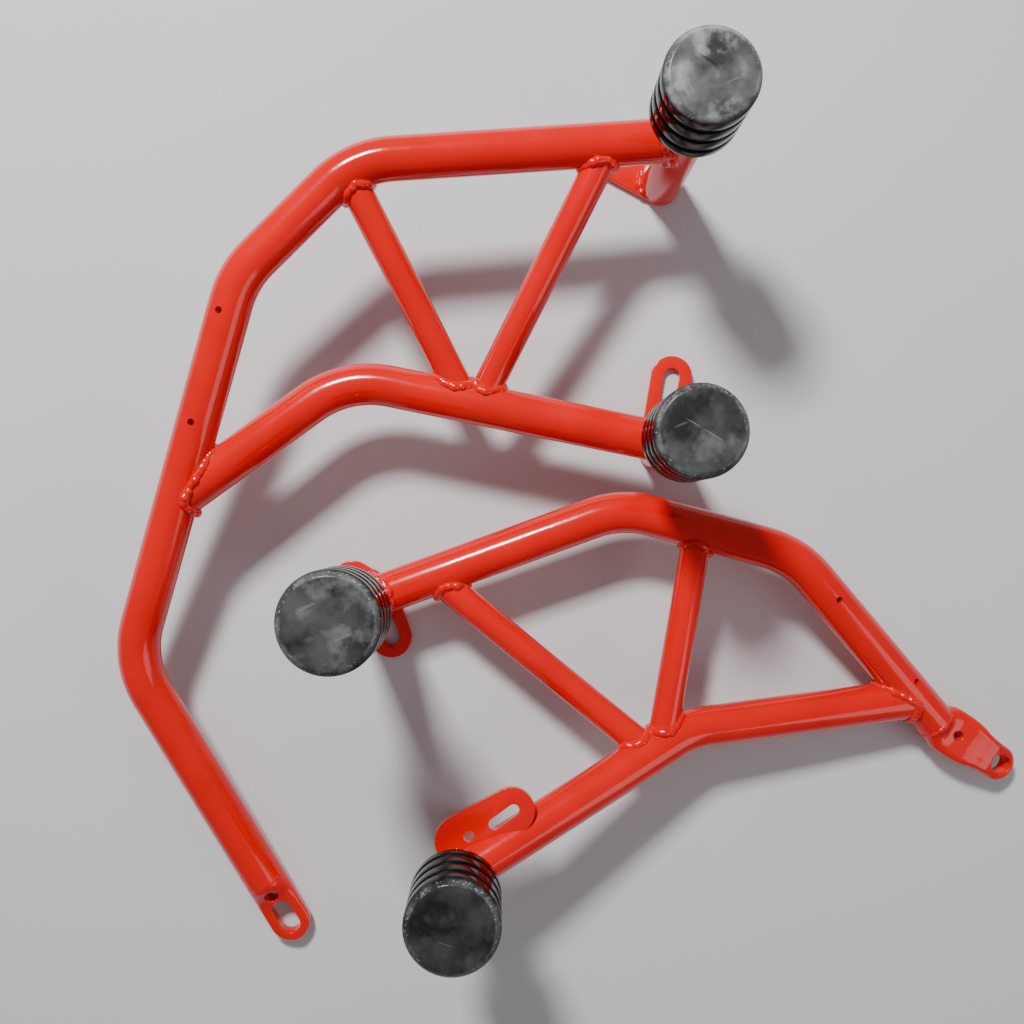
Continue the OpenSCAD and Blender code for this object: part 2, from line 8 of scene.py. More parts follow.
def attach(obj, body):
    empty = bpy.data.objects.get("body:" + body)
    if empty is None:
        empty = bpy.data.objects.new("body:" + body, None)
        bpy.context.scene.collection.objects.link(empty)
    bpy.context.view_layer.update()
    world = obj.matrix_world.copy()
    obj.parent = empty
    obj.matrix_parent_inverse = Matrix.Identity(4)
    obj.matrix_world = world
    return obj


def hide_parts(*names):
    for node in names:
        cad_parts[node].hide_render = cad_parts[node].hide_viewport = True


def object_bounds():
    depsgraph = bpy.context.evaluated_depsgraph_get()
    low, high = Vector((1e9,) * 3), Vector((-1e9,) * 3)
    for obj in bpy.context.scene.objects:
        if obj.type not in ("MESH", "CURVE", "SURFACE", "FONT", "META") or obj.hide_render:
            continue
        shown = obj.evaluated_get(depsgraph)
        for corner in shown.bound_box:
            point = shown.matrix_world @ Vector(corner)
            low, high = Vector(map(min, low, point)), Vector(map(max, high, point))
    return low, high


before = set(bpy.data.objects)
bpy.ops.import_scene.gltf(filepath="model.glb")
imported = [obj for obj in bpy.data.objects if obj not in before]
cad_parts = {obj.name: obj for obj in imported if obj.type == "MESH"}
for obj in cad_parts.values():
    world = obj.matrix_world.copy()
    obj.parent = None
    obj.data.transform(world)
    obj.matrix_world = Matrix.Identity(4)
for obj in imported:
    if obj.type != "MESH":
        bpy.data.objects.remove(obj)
cad_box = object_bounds()


# OUTER TUBES
# The longest tube of each bar, 25.4 mm round steel bent on a 60 mm die, with small drilled
# vent holes. The whole weldment is sprayed in one thick, glossy red coat.

MM = 0.001
BEND_R = 60 * MM
OUTER_R = 12.7 * MM
# The outer tubes are drawn a hair under size, and a coped end reaches a hair into its round
OUTER_DRAWN_R = OUTER_R - 0.07 * MM
WELD_SINK = 0.15 * MM
POST_R = 13.45 * MM
POST_ROD_ENDS = (-0.02, 0.3)
VENT_R = 2 * MM
VENT_REACH = (6, 40)
VENT_SIDES = 24
TUBE_SIDES = 64
LONGEST_STRETCH = 0.02
DEEP_RED = (0.66, 0.0005, 0.0003)
BRIGHT_RED = (0.76, 0.0012, 0.0007)
LEFT_LUG_LONG = 45
LEFT_AT = Vector((54.5, 229, 0)) * MM
RIGHT_AT = Vector((-130.5, -39, 0)) * MM


def placed(at, corners):
    """Corners given in millimetres from a bar's upper post, as points."""
    return [at + Vector(c) * MM for c in corners]


LEFT_TIP = LEFT_AT + Vector((-233, -486, 6)) * MM
LEFT_OUTER = placed(LEFT_AT, [(0, 0, 82), (-188, -15, 87), (-255, -80, 82), (-328, -305, 44)])
LEFT_OUTER.append(LEFT_TIP - (LEFT_TIP - LEFT_OUTER[3]).normalized() * LEFT_LUG_LONG * MM)
RIGHT_OUTER = placed(RIGHT_AT, [(0, 0, 38), (155, 56, 40), (261, 27, 42), (357.6, -79.9, 17.3)])


def bent_line(corners, arc_step=0.05):
    """Points along a run of corners, each rounded by the bending die."""
    points = [corners[0]]
    for a, b, c in zip(corners, corners[1:], corners[2:]):
        u = (b - a).normalized()
        v = (c - b).normalized()
        turn = u.angle(v)
        run_in = BEND_R * math.tan(turn / 2)
        inward = (v - u * u.dot(v)).normalized()
        centre = b - u * run_in + inward * BEND_R
        count = max(2, int(turn / arc_step))
        for i in range(count + 1):
            t = turn * i / count
            points.append(centre - inward * BEND_R * math.cos(t) + u * BEND_R * math.sin(t))
    points.append(corners[-1])
    return points


def evenly(points):
    """The same line with no stretch longer than 20 mm."""
    out = [points[0]]
    for a, b in zip(points, points[1:]):
        count = max(1, math.ceil((b - a).length / LONGEST_STRETCH))
        for i in range(1, count + 1):
            out.append(a.lerp(b, i / count))
    return out


def ring_frames(points):
    """A side and an up direction for every point, carried along without twist."""
    tangents = []
    for i in range(len(points)):
        before = points[max(i - 1, 0)]
        after = points[min(i + 1, len(points) - 1)]
        tangents.append((after - before).normalized())
    side = tangents[0].orthogonal().normalized()
    frames = []
    for tangent in tangents:
        side = (side - tangent * side.dot(tangent)).normalized()
        frames.append((side, tangent.cross(side)))
    return frames


def swept(points, radius, around=TUBE_SIDES):
    """Closed round bar along a line of points."""
    mesh = bmesh.new()
    rings = []
    for point, (side, up) in zip(points, ring_frames(points)):
        ring = []
        for k in range(around):
            t = 2 * math.pi * k / around
            ring.append(mesh.verts.new(point + (side * math.cos(t) + up * math.sin(t)) * radius))
        rings.append(ring)
    for low, high in zip(rings, rings[1:]):
        for k in range(around):
            n = (k + 1) % around
            mesh.faces.new((low[k], low[n], high[n], high[k]))
    mesh.faces.new(list(reversed(rings[0])))
    mesh.faces.new(rings[-1])
    bmesh.ops.recalc_face_normals(mesh, faces=mesh.faces)
    return mesh


def piece_from(name, mesh, material=None, crease=35):
    """An object at the origin made from a finished mesh, smooth up to the crease angle."""
    data = bpy.data.meshes.new(name)
    mesh.to_mesh(data)
    mesh.free()
    piece = bpy.data.objects.new(name, data)
    bpy.context.scene.collection.objects.link(piece)
    if material:
        data.materials.append(material)
    data.shade_smooth()
    data.set_sharp_from_angle(angle=math.radians(crease))
    return piece


def baked(piece, crease=35):
    """Turns a piece's modifiers into plain mesh and takes them off."""
    graph = bpy.context.evaluated_depsgraph_get()
    made = bpy.data.meshes.new_from_object(piece.evaluated_get(graph), depsgraph=graph)
    piece.modifiers.clear()
    old = piece.data
    piece.data = made
    made.name = piece.name
    bpy.data.meshes.remove(old)
    made.shade_smooth()
    made.set_sharp_from_angle(angle=math.radians(crease))
    return piece


def cut(piece, cutters):
    """Takes the cutters' volume off a piece and throws the cutters away."""
    for cutter in cutters:
        saw = piece.modifiers.new("saw", "BOOLEAN")
        saw.operation = "DIFFERENCE"
        saw.solver = "EXACT"
        saw.object = cutter
    baked(piece)
    for cutter in cutters:
        old = cutter.data
        bpy.data.objects.remove(cutter)
        bpy.data.meshes.remove(old)
    return piece


def rod(a, b, radius, around=TUBE_SIDES):
    """Straight round cutter between two points."""
    return piece_from("cutter", swept([a, b], radius, around))


def post_rod(at):
    """Cutter for the cope of a tube that lands on a post."""
    low, high = POST_ROD_ENDS
    return rod(Vector((at.x, at.y, low)), Vector((at.x, at.y, high)), POST_R - WELD_SINK)


def vent(a, b, distance, roll):
    """Drill for a vent hole, rolled from the top of the run between two corners."""
    z = (b - a).normalized()
    x = Vector((0, 0, 1)).cross(z).normalized()
    y = z.cross(x)
    roll = math.radians(roll)
    out = x * -math.sin(roll) + y * math.cos(roll)
    start = a + z * distance * MM
    near, far = VENT_REACH
    return rod(start + out * near * MM, start + out * far * MM, VENT_R, VENT_SIDES)


def clouded(tree, place, scale, detail=2.0, roughness=0.5):
    """A cloudy pattern from 0 to 1; the scale is in clouds a metre."""
    noise = tree.nodes.new("ShaderNodeTexNoise")
    noise.inputs["Scale"].default_value = scale
    noise.inputs["Detail"].default_value = detail
    noise.inputs["Roughness"].default_value = roughness
    tree.links.new(place, noise.inputs["Vector"])
    return noise.outputs["Fac"]


def spread(tree, value, given, wanted=(0, 1)):
    """Maps a value from the given range onto the wanted one and holds it there."""
    node = tree.nodes.new("ShaderNodeMapRange")
    node.inputs["From Min"].default_value = given[0]
    node.inputs["From Max"].default_value = given[1]
    node.inputs["To Min"].default_value = wanted[0]
    node.inputs["To Max"].default_value = wanted[1]
    tree.links.new(value, node.inputs["Value"])
    return node.outputs["Result"]


# Where a mix node takes its two colours and gives the new one
COLOUR_A, COLOUR_B, COLOUR_OUT = 6, 7, 2


def mixed(tree, factor, first, second):
    """Colour that goes from the first to the second, each a colour or a socket."""
    node = tree.nodes.new("ShaderNodeMix")
    node.data_type = "RGBA"
    tree.links.new(factor, node.inputs["Factor"])
    for value, place in ((first, COLOUR_A), (second, COLOUR_B)):
        if isinstance(value, tuple):
            node.inputs[place].default_value = (*value, 1)
        else:
            tree.links.new(value, node.inputs[place])
    return node.outputs[COLOUR_OUT]


def bumped(tree, height, strength, distance, under=None):
    """Fine relief from a pattern, over another relief where one is given."""
    node = tree.nodes.new("ShaderNodeBump")
    node.inputs["Strength"].default_value = strength
    node.inputs["Distance"].default_value = distance
    tree.links.new(height, node.inputs["Height"])
    if under:
        tree.links.new(under, node.inputs["Normal"])
    return node.outputs["Normal"]


def new_finish(name):
    """A plain material, with its tree, its shader and the place on the object."""
    material = bpy.data.materials.new(name)
    material.use_nodes = True
    tree = material.node_tree
    place = tree.nodes.new("ShaderNodeTexCoord").outputs["Object"]
    return material, tree, tree.nodes["Principled BSDF"], place


def red_coat(name, runs=0.0):
    """Thick glossy red coat: faint orange peel, slow waviness and a slightly uneven colour."""
    material, tree, shader, place = new_finish(name)
    cloud = clouded(tree, place, 22, 3)
    fine = clouded(tree, place, 900, 2)
    swell = clouded(tree, place, 130, 2)
    colour = mixed(tree, spread(tree, cloud, (0.35, 0.68)), DEEP_RED, BRIGHT_RED)
    tree.links.new(colour, shader.inputs["Base Color"])
    tree.links.new(spread(tree, cloud, (0.3, 0.7), (0.13, 0.21)), shader.inputs["Roughness"])
    peel = bumped(tree, fine, 0.05 + runs, 0.0002)
    wavy = bumped(tree, swell, 0.10 + runs, 0.001, peel)
    tree.links.new(wavy, shader.inputs["Normal"])
    shader.inputs["Coat Weight"].default_value = 0.4
    shader.inputs["Coat Roughness"].default_value = 0.05
    shader.inputs["IOR"].default_value = 1.45
    shader.inputs["Specular IOR Level"].default_value = 0.3
    return material


RED = red_coat("red_coat_on_tube")


def finished(piece, node):
    """Hangs a finished piece on the object and lets it stand for its CAD node."""
    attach(piece, "root")
    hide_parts(node)
    return piece


def tube(name, corners, radius):
    """A bent tube in its red coat."""
    return piece_from(name, swept(evenly(bent_line(corners)), radius), RED)


left_outer = tube("left_outer_tube_visual", LEFT_OUTER, OUTER_DRAWN_R)
cut(left_outer, [
    post_rod(LEFT_AT),
    vent(LEFT_OUTER[2], LEFT_OUTER[3], 21, 10),
    vent(LEFT_OUTER[2], LEFT_OUTER[3], 87, 2),
    vent(LEFT_OUTER[2], LEFT_OUTER[3], 136, -60)])
finished(left_outer, "left_outer_tube")

right_outer = tube("right_outer_tube_visual", RIGHT_OUTER, OUTER_DRAWN_R)
cut(right_outer, [
    post_rod(RIGHT_AT),
    vent(RIGHT_OUTER[2], RIGHT_OUTER[3], 36, -4),
    vent(RIGHT_OUTER[2], RIGHT_OUTER[3], 111, -24)])
finished(right_outer, "right_outer_tube")


# INNER TUBES
# A shorter bent tube of 25 mm runs from each lower post to the outer tube. Both ends are
# coped to the round that they land on and welded all round.

INNER_R = 12.5 * MM
LEFT_LANDING = 0.57
RIGHT_LANDING = 0.856
LEFT_LOW_AT = LEFT_AT + Vector((-1, -174, 0)) * MM
RIGHT_LOW_AT = RIGHT_AT + Vector((56, -156, 0)) * MM
LEFT_INNER = placed(LEFT_AT, [(-1, -174, 57), (-197, -134, 54)])
LEFT_INNER.append(LEFT_OUTER[2].lerp(LEFT_OUTER[3], LEFT_LANDING))
RIGHT_INNER = placed(RIGHT_AT, [(56, -156, 80), (197, -80, 38)])
RIGHT_INNER.append(RIGHT_OUTER[2].lerp(RIGHT_OUTER[3], RIGHT_LANDING))

left_inner = tube("left_inner_tube_visual", LEFT_INNER, INNER_R)
cut(left_inner, [post_rod(LEFT_LOW_AT), rod(LEFT_OUTER[2], LEFT_OUTER[3], OUTER_R - WELD_SINK)])
finished(left_inner, "left_inner_tube")

right_inner = tube("right_inner_tube_visual", RIGHT_INNER, INNER_R)
cut(right_inner, [post_rod(RIGHT_LOW_AT), rod(RIGHT_OUTER[2], RIGHT_OUTER[3], OUTER_R - WELD_SINK)])
finished(right_inner, "right_inner_tube")


# BRACES
# Two straight 18 mm tubes a bar, set in a V between the outer and the inner tube, so that
# a fall on the outer tube is carried into the inner one.

BRACE_R = 9 * MM


def along(a, b, distance):
    """The point a given number of millimetres from a towards b."""
    return a + (b - a).normalized() * distance * MM


LEFT_FRONT = (LEFT_AT + Vector((-190, -25, 86)) * MM, along(LEFT_INNER[1], LEFT_INNER[0], 73))
LEFT_REAR = (along(LEFT_OUTER[0], LEFT_OUTER[1], 42), along(LEFT_INNER[1], LEFT_INNER[0], 81))
RIGHT_FRONT = (along(RIGHT_OUTER[0], RIGHT_OUTER[1], 42), along(RIGHT_INNER[1], RIGHT_INNER[0], 29))
RIGHT_REAR = (along(RIGHT_OUTER[1], RIGHT_OUTER[2], 49), along(RIGHT_INNER[1], RIGHT_INNER[0], 22))


def brace(node, axis, outer, inner, beside=None):
    """Brace coped to the outer and the inner tube and to the brace beside it."""
    piece = piece_from(node + "_visual", swept(evenly(list(axis)), BRACE_R), RED)
    saws = [
        piece_from("cutter", swept(bent_line(outer), OUTER_R - WELD_SINK)),
        piece_from("cutter", swept(bent_line(inner), INNER_R - WELD_SINK))]
    if beside:
        saws.append(rod(beside[0], beside[1], BRACE_R - WELD_SINK))
    return finished(cut(piece, saws), node)


left_front = brace("left_front_brace", LEFT_FRONT, LEFT_OUTER, LEFT_INNER)
brace("left_rear_brace", LEFT_REAR, LEFT_OUTER, LEFT_INNER, LEFT_FRONT)
right_front = brace("right_front_brace", RIGHT_FRONT, RIGHT_OUTER, RIGHT_INNER)
brace("right_rear_brace", RIGHT_REAR, RIGHT_OUTER, RIGHT_INNER, RIGHT_FRONT)


# POSTS
# Turned steel spacers, bored from the foot and tapped at the top. They hold the sliders
# clear of the machine, and the lower right one runs down past its plate.

POST_SIDES = 96
POST_CREASE = 30
POST_WIDE = POST_R / MM
BORE_WIDE = 9.5
TAP_WIDE = 5.1
TAP_DEEP = 20
CAP_THICK = 30
LEFT_UPPER_TOP = 123
LEFT_LOWER_TOP = 99
RIGHT_UPPER_TOP = 149
RIGHT_LOWER_TOP = 110
PLATE_THICK = 5


def turned(name, profile, at, material, around, crease):
    """Body of revolution from a closed profile of radius and height, in millimetres."""
    mesh = bmesh.new()
    rings = []
    for r, z in profile:
        height = at.z + z * MM
        if r == 0:
            rings.append([mesh.verts.new((at.x, at.y, height))])
            continue
        ring = []
        for k in range(around):
            t = 2 * math.pi * k / around
            x = at.x + r * MM * math.cos(t)
            y = at.y + r * MM * math.sin(t)
            ring.append(mesh.verts.new((x, y, height)))
        rings.append(ring)
    for low, high in zip(rings, rings[1:] + rings[:1]):
        for k in range(around):
            n = (k + 1) % around
            if len(low) == 1 and len(high) == 1:
                break
            if len(low) == 1:
                mesh.faces.new((low[0], high[n], high[k]))
            elif len(high) == 1:
                mesh.faces.new((low[k], low[n], high[0]))
            else:
                mesh.faces.new((low[k], low[n], high[n], high[k]))
    bmesh.ops.recalc_face_normals(mesh, faces=mesh.faces)
    return piece_from(name, mesh, material, crease)


def post(node, at, top, foot):
    """Spacer with a bore from the foot, a solid cap and the tapped hole down through it."""
    profile = [
        (BORE_WIDE, foot), (13.1, foot), (POST_WIDE, foot + 0.4), (POST_WIDE, top - 0.8),
        (13.2, top - 0.2), (12.7, top), (TAP_WIDE, top), (TAP_WIDE, top - TAP_DEEP),
        (TAP_WIDE, top - CAP_THICK), (BORE_WIDE, top - CAP_THICK)]
    piece = turned(node + "_visual", profile, at, RED, POST_SIDES, POST_CREASE)
    return finished(piece, node)


left_upper_post = post("left_upper_post", LEFT_AT, LEFT_UPPER_TOP, PLATE_THICK)
left_lower_post = post("left_lower_post", LEFT_LOW_AT, LEFT_LOWER_TOP, PLATE_THICK)
right_upper_post = post("right_upper_post", RIGHT_AT, RIGHT_UPPER_TOP, PLATE_THICK)
right_lower_post = post("right_lower_post", RIGHT_LOW_AT, RIGHT_LOWER_TOP, 0)


# PLATES
# Slotted 5 mm plates, cut from sheet and welded to the posts. The cut edges are rounded
# by the thick coat.

PLATE_CREASE = 30
PLATE_EDGE = 0.7 * MM
RIGHT_LOWER_EDGE = 0.5 * MM
SAME_POINT = 0.00001


def plate(node, width):
    """The CAD node's own plate, its doubles merged and its cut edges rounded."""
    mesh = bmesh.new()
    mesh.from_mesh(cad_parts[node].data)
    bmesh.ops.remove_doubles(mesh, verts=mesh.verts, dist=SAME_POINT)
    bmesh.ops.dissolve_limit(mesh, angle_limit=math.radians(1), verts=mesh.verts, edges=mesh.edges)
    piece = piece_from(node + "_visual", mesh, RED, PLATE_CREASE)
    edge = piece.modifiers.new("edge", "BEVEL")
    edge.limit_method = "ANGLE"
    edge.angle_limit = math.radians(40)
    edge.width = width
    edge.segments = 3
    edge.harden_normals = False
    return finished(baked(piece, PLATE_CREASE), node)


left_upper_plate = plate("left_upper_plate", PLATE_EDGE)
left_lower_plate = plate("left_lower_plate", PLATE_EDGE)
right_upper_plate = plate("right_upper_plate", PLATE_EDGE)
plate("right_lower_plate", RIGHT_LOWER_EDGE)


# END LUGS
# Both outer tubes end in a pressed lug with a long slot and a round hole. The left one is
# drawn down to a flat bar, the right one is wider and bent down at its tip.

LUG_TIP_STEPS = 12
LUG_SIDES = 72
DRILL_STEPS = 48
DRILL_REACH = 15
HOLLOW_ENDS = 46
HOLLOW_FADES = 8
HOLLOW_WIDE = 0.8
ROLLED_CREASE = 60


def lug_blank(name, place, sections, tip_drop, hollow):
    """Tube end drawn from round to flat, by distance, half width, half thickness, squareness.

    The round tip thins by tip_drop, and hollow is how deep the press leaves the upper face.
    """
    sections = list(sections)
    last, width, thick, square = sections[-1]
    for k in range(1, LUG_TIP_STEPS):
        t = math.pi / 2 * k / LUG_TIP_STEPS
        drop = 1 - tip_drop * (1 - math.cos(t))
        sections.append((last + width * math.sin(t), width * math.cos(t), thick * drop, square))
    mesh = bmesh.new()
    rings = []
    for x, half_w, half_t, square in sections:
        ring = []
        for k in range(LUG_SIDES):
            t = 2 * math.pi * k / LUG_SIDES
            c, d = math.cos(t), math.sin(t)
            y = half_w * math.copysign(abs(c) ** (2 / square), c)
            z = half_t * math.copysign(abs(d) ** (2 / square), d)
            if z > 0 and square > 3:
                across = min(1, abs(y) / (HOLLOW_WIDE * half_w))
                fade = max(0, min(1, square - 3, (HOLLOW_ENDS - x) / HOLLOW_FADES))
                z -= hollow * (1 - across ** 2) ** 2 * fade
            ring.append(mesh.verts.new(place(x, y, z)))
        rings.append(ring)
    for low, high in zip(rings, rings[1:]):
        for k in range(LUG_SIDES):
            n = (k + 1) % LUG_SIDES
            mesh.faces.new((low[k], low[n], high[n], high[k]))
    mesh.faces.new(list(reversed(rings[0])))
    mesh.faces.new(rings[-1])
    bmesh.ops.recalc_face_normals(mesh, faces=mesh.faces)
    return piece_from(name, mesh, RED)


def long_drill(place, x_a, x_b, radius):
    """Cutter with round ends, square to the lug's face, between two distances along it."""
    outline = []
    for x, start in ((x_a, math.pi / 2), (x_b, -math.pi / 2)):
        for k in range(DRILL_STEPS + 1):
            t = start + math.pi * k / DRILL_STEPS
            outline.append((x + radius * math.cos(t), radius * math.sin(t)))
    mesh = bmesh.new()
    low = [mesh.verts.new(place(x, y, -DRILL_REACH)) for x, y in outline]
    high = [mesh.verts.new(place(x, y, DRILL_REACH)) for x, y in outline]
    for k in range(len(low)):
        n = (k + 1) % len(low)
        mesh.faces.new((low[k], low[n], high[n], high[k]))
    mesh.faces.new(list(reversed(low)))
    mesh.faces.new(high)
    bmesh.ops.recalc_face_normals(mesh, faces=mesh.faces)
    return piece_from("cutter", mesh)


def rolled(piece, grain, passes, coat=RED):
    """Makes a piece one even skin and rolls its edges over, as heat and a thick coat do."""
    skin = piece.modifiers.new("skin", "REMESH")
    skin.mode = "VOXEL"
    skin.voxel_size = grain
    roll = piece.modifiers.new("roll", "SMOOTH")
    roll.factor = 0.5
    roll.iterations = passes
    baked(piece, ROLLED_CREASE)
    piece.data.materials.clear()
    piece.data.materials.append(coat)
    return piece


# A hole or slot: where its ends' centres lie along the lug, and its radius
LEFT_HOLE = (10, 10, 4.25)
LEFT_SLOT = (21.5, 33.5, 6)
LEFT_LUG_GRAIN = 0.45 * MM
LEFT_LUG_PASSES = 3
LEFT_ALONG = (LEFT_TIP - LEFT_OUTER[4]).normalized()
LEFT_ACROSS = Vector((0, 0, 1)).cross(LEFT_ALONG).normalized()
LEFT_UP = LEFT_ALONG.cross(LEFT_ACROSS)
LEFT_LUG_SECTIONS = [
    (-1.5, 12.5, 12.5, 2.0), (0, 12.65, 12.5, 2.0), (2, 12.65, 12.2, 2.0), (4, 12.65, 11.4, 2.1),
    (6, 12.65, 10.1, 2.2), (9, 12.65, 8.0, 2.5), (12, 12.65, 6.2, 2.9), (15, 12.65, 5.1, 3.4),
    (19, 12.65, 4.3, 4.2), (24, 12.65, 4.0, 5.0), (32.3, 12.65, 4.0, 5.0)]


def left_lug_place(x, y, z):
    """From the lug's own measures, along, across and up, to its place."""
    return LEFT_OUTER[4] + (LEFT_ALONG * x + LEFT_ACROSS * y + LEFT_UP * z) * MM


left_lug = cut(
    lug_blank("left_end_lug_visual", left_lug_place, LEFT_LUG_SECTIONS, 0, 0),
    [long_drill(left_lug_place, *LEFT_HOLE), long_drill(left_lug_place, *LEFT_SLOT)])
finished(rolled(left_lug, LEFT_LUG_GRAIN, LEFT_LUG_PASSES), "left_end_lug")

LUG_START = RIGHT_OUTER[3]
LUG_TURN = math.radians(-33)
SLOPE = math.radians(24)
KNEE = 38
RIGHT_HOLE = (15, 15, 3)
RIGHT_SLOT = (KNEE + 9.5, KNEE + 14.5, 6)
RIGHT_LUG_GRAIN = 0.5 * MM
RIGHT_LUG_PASSES = 4
RIGHT_TIP_DROP = 0.18
RIGHT_HOLLOW = 1.1
RIGHT_LUG_SECTIONS = [
    (-2, 12.4, 12.3, 2.0), (0, 12.8, 12.2, 2.0), (3, 13.9, 10.6, 2.3), (6, 15.1, 8.6, 2.8),
    (9, 15.5, 7.5, 3.3), (13, 15.5, 7.1, 3.8), (18, 15.4, 7.0, 4.0), (24, 15.0, 6.8, 4.2),
    (29, 14.0, 6.4, 4.4), (33, 12.7, 5.9, 4.6), (37, 11.9, 5.6, 4.8), (41, 11.5, 5.4, 5.0),
    (46, 11.5, 5.2, 5.0), (50.4, 11.5, 5.1, 5.0)]


def right_lug_place(x, y, z):
    """From the lug's own measures to its place: level up to the knee, then down the slope."""
    if x > KNEE:
        run = x - KNEE
        x = KNEE + run * math.cos(SLOPE) + z * math.sin(SLOPE)
        z = z * math.cos(SLOPE) - run * math.sin(SLOPE)
    turned_x = x * math.cos(LUG_TURN) - y * math.sin(LUG_TURN)
    turned_y = x * math.sin(LUG_TURN) + y * math.cos(LUG_TURN)
    return LUG_START + Vector((turned_x, turned_y, z)) * MM


right_lug = cut(
    lug_blank(
        "right_end_lug_visual", right_lug_place, RIGHT_LUG_SECTIONS, RIGHT_TIP_DROP, RIGHT_HOLLOW),
    [long_drill(right_lug_place, *RIGHT_HOLE), long_drill(right_lug_place, *RIGHT_SLOT)])
finished(rolled(right_lug, RIGHT_LUG_GRAIN, RIGHT_LUG_PASSES), "right_end_lug")


# WELD BEADS
# Hand-laid beads run round the joints. Each is a row of overlapping puddles, uneven in size
# and place and half fused together, under the same red coat as the tubes.

SEAM_STEPS = 96
SEAM_INSET = 0.5 * MM
FOOT_STEPS = 144
FOOT_OUT = 0.3 * MM
FOOT_PROBE_OUT = 2.2 * MM
FOOT_PROBE_UP = 2 * MM
FOOT_PROBE_LONG = 4 * MM
SHORTEST_RUN = 3
# Pitch, radius and wander of the puddles in millimetres, then how much their size varies
BIG_PUDDLES = (1.2, 2.8, 0.7)
FINE_PUDDLES = (1.3, 1.6, 0.25)
PUDDLE_SIZES = (0.78, 1.15)
BEAD_GRAIN = 0.5 * MM
BEAD_PASSES = 10
LEFT_RING_INSET = 1.4 * MM
RIGHT_RING_INSET = 1.1 * MM
RED_WELD = red_coat("red_coat_on_weld", 0.15)


def surface_of(piece):
    """The piece's surface, to send rays at."""
    return BVHTree.FromPolygons(
        [v.co for v in piece.data.vertices], [f.vertices for f in piece.data.polygons])


def unbroken(points):
    """Splits a line at its missing points and drops what is too short to weld."""
    runs = []
    run = []
    for point in points + [None]:
        if point is not None:
            run.append(point)
            continue
        if len(run) >= SHORTEST_RUN:
            runs.append(run)
        run = []
    return runs


def seam(parents, a, b, radius):
    """Line where a tube from a to b lands on its parents, as runs of points."""
    surfaces = [surface_of(parent) for parent in parents]
    down = (a - b).normalized()
    side = down.orthogonal().normalized()
    up = down.cross(side)
    points = []
    radius = radius - SEAM_INSET
    for k in range(SEAM_STEPS + 1):
        t = 2 * math.pi * k / SEAM_STEPS
        start = b + (side * math.cos(t) + up * math.sin(t)) * radius
        hits = [surface.ray_cast(start, down)[0] for surface in surfaces]
        hits = [hit for hit in hits if hit is not None]
        points.append(min(hits, key=lambda hit: (hit - start).length, default=None))
    return unbroken(points)


def foot_seam(under, at):
    """Round the foot of a post, wherever its plate reaches out under it."""
    surface = surface_of(under)
    height = PLATE_THICK * MM
    points = []
    for k in range(FOOT_STEPS + 1):
        t = 2 * math.pi * k / FOOT_STEPS
        out = Vector((math.cos(t), math.sin(t), 0))
        probe = at + out * (POST_R + FOOT_PROBE_OUT) + Vector((0, 0, height + FOOT_PROBE_UP))
        hit = surface.ray_cast(probe, Vector((0, 0, -1)), FOOT_PROBE_LONG)[0]
        foot = at + out * (POST_R + FOOT_OUT) + Vector((0, 0, height))
        points.append(None if hit is None else foot)
    return unbroken(points)


def ring_seam(centre, axis, radius):
    """A closed round seam square to an axis."""
    side = axis.orthogonal().normalized()
    up = axis.cross(side).normalized()
    run = []
    for k in range(LUG_SIDES + 1):
        t = 2 * math.pi * k / LUG_SIDES
        run.append(centre + (side * math.cos(t) + up * math.sin(t)) * radius)
    return [run]


